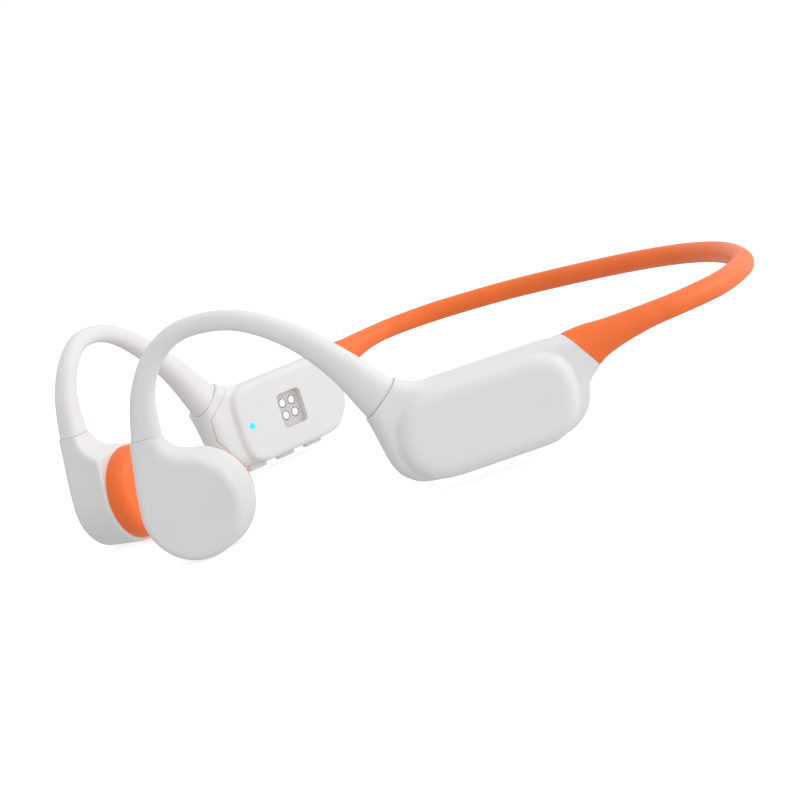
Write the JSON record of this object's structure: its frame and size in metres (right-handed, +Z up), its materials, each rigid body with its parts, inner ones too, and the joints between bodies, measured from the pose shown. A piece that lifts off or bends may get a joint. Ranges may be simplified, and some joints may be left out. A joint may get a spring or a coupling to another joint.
{
  "type": "bone conduction headphones",
  "caption": "Open-ear bone conduction headphones: ear hooks with round transducer pods and flat housings, joined behind the neck by a springy silicone band.",
  "frame": {"origin": "under the middle of the bounding box, at the level that the transducer pods stand on", "axes": "+X from the ear hooks back to the neckband (longest), +Y to the wearer's right, +Z up (shortest)"},
  "size_m": [0.1507, 0.1386, 0.0469],
  "materials": {
    "white_shell": "satin off-white moulded plastic",
    "white_overmould": "soft-touch off-white silicone",
    "white_button": "satin off-white plastic",
    "orange_silicone": "satin orange silicone",
    "port_plastic": "fine textured plastic",
    "contact_metal": "plated contact, satin",
    "light_pipe": "clear light guide, lit cyan",
    "spring_metal": "bright drawn wire and stamped sheet",
    "lead_jacket": "matt",
    "circuit_board": "solder mask",
    "chip": "moulded package",
    "cell_foil": "satin foil pouch",
    "magnet_nickel": "nickel plate",
    "coil_copper": "enamelled copper wire"
  },
  "bodies": {
    "neckband": {"neckband_sleeve": "orange_silicone", "neckband_wire": "spring_metal", "neckband_lead": "lead_jacket"},
    "left_side": {"left_outer_shell": "white_shell", "left_inner_shell": "white_shell", "left_ear_hook": "white_overmould", "left_hook_wire": "spring_metal", "left_hook_lead": "lead_jacket", "left_pod_cup": "white_overmould", "left_ear_pad": "orange_silicone", "left_transducer_yoke": "spring_metal", "left_transducer_magnet": "magnet_nickel", "left_voice_coil": "coil_copper", "left_vibration_plate": "spring_metal", "left_neckband_sleeve": "orange_silicone", "left_neckband_wire": "spring_metal", "left_neckband_lead": "lead_jacket", "battery": "cell_foil", "battery_guard_board": "circuit_board"},
    "right_side": {"right_outer_shell": "white_shell", "right_inner_shell": "white_shell", "right_ear_hook": "white_overmould", "right_hook_wire": "spring_metal", "right_hook_lead": "lead_jacket", "right_pod_cup": "white_overmould", "right_ear_pad": "orange_silicone", "right_transducer_yoke": "spring_metal", "right_transducer_magnet": "magnet_nickel", "right_voice_coil": "coil_copper", "right_vibration_plate": "spring_metal", "right_neckband_sleeve": "orange_silicone", "right_neckband_wire": "spring_metal", "right_neckband_lead": "lead_jacket", "charging_tray": "port_plastic", "charging_pin_1": "contact_metal", "charging_pin_2": "contact_metal", "charging_pin_3": "contact_metal", "charging_pin_4": "contact_metal", "charging_magnet": "magnet_nickel", "status_light_pipe": "light_pipe", "switch_power": "spring_metal", "switch_volume_down": "spring_metal", "switch_volume_up": "spring_metal", "button_seal": "lead_jacket", "button_board": "circuit_board", "main_board": "circuit_board", "radio_chip": "chip", "microphone": "spring_metal"},
    "power_key": {"button_power": "white_button"},
    "volume_down_key": {"button_volume_down": "white_button"},
    "volume_up_key": {"button_volume_up": "white_button"}
  },
  "joints": [
    {"name": "left_band_flex", "type": "hinge", "parent": "neckband", "child": "left_side", "pos_m": [0.05903, -0.046, 0.0203], "axis": [0, 0, 1], "range_deg": [-4, 25], "stiffness_Nm_per_rad": 0.35},
    {"name": "right_band_flex", "type": "hinge", "parent": "neckband", "child": "right_side", "pos_m": [0.05903, 0.046, 0.0203], "axis": [0, 0, -1], "range_deg": [-4, 25], "stiffness_Nm_per_rad": 0.35},
    {"name": "power_press", "type": "slide", "parent": "right_side", "child": "power_key", "axis": [0, 0, 1], "range_m": [0, 0.0004], "stiffness_N_per_m": 1500, "springref_m": -0.0004},
    {"name": "volume_down_press", "type": "slide", "parent": "right_side", "child": "volume_down_key", "axis": [0, 0, 1], "range_m": [0, 0.0004], "stiffness_N_per_m": 1500, "springref_m": -0.0004},
    {"name": "volume_up_press", "type": "slide", "parent": "right_side", "child": "volume_up_key", "axis": [0, 0, 1], "range_m": [0, 0.0004], "stiffness_N_per_m": 1500, "springref_m": -0.0004}
  ]
}
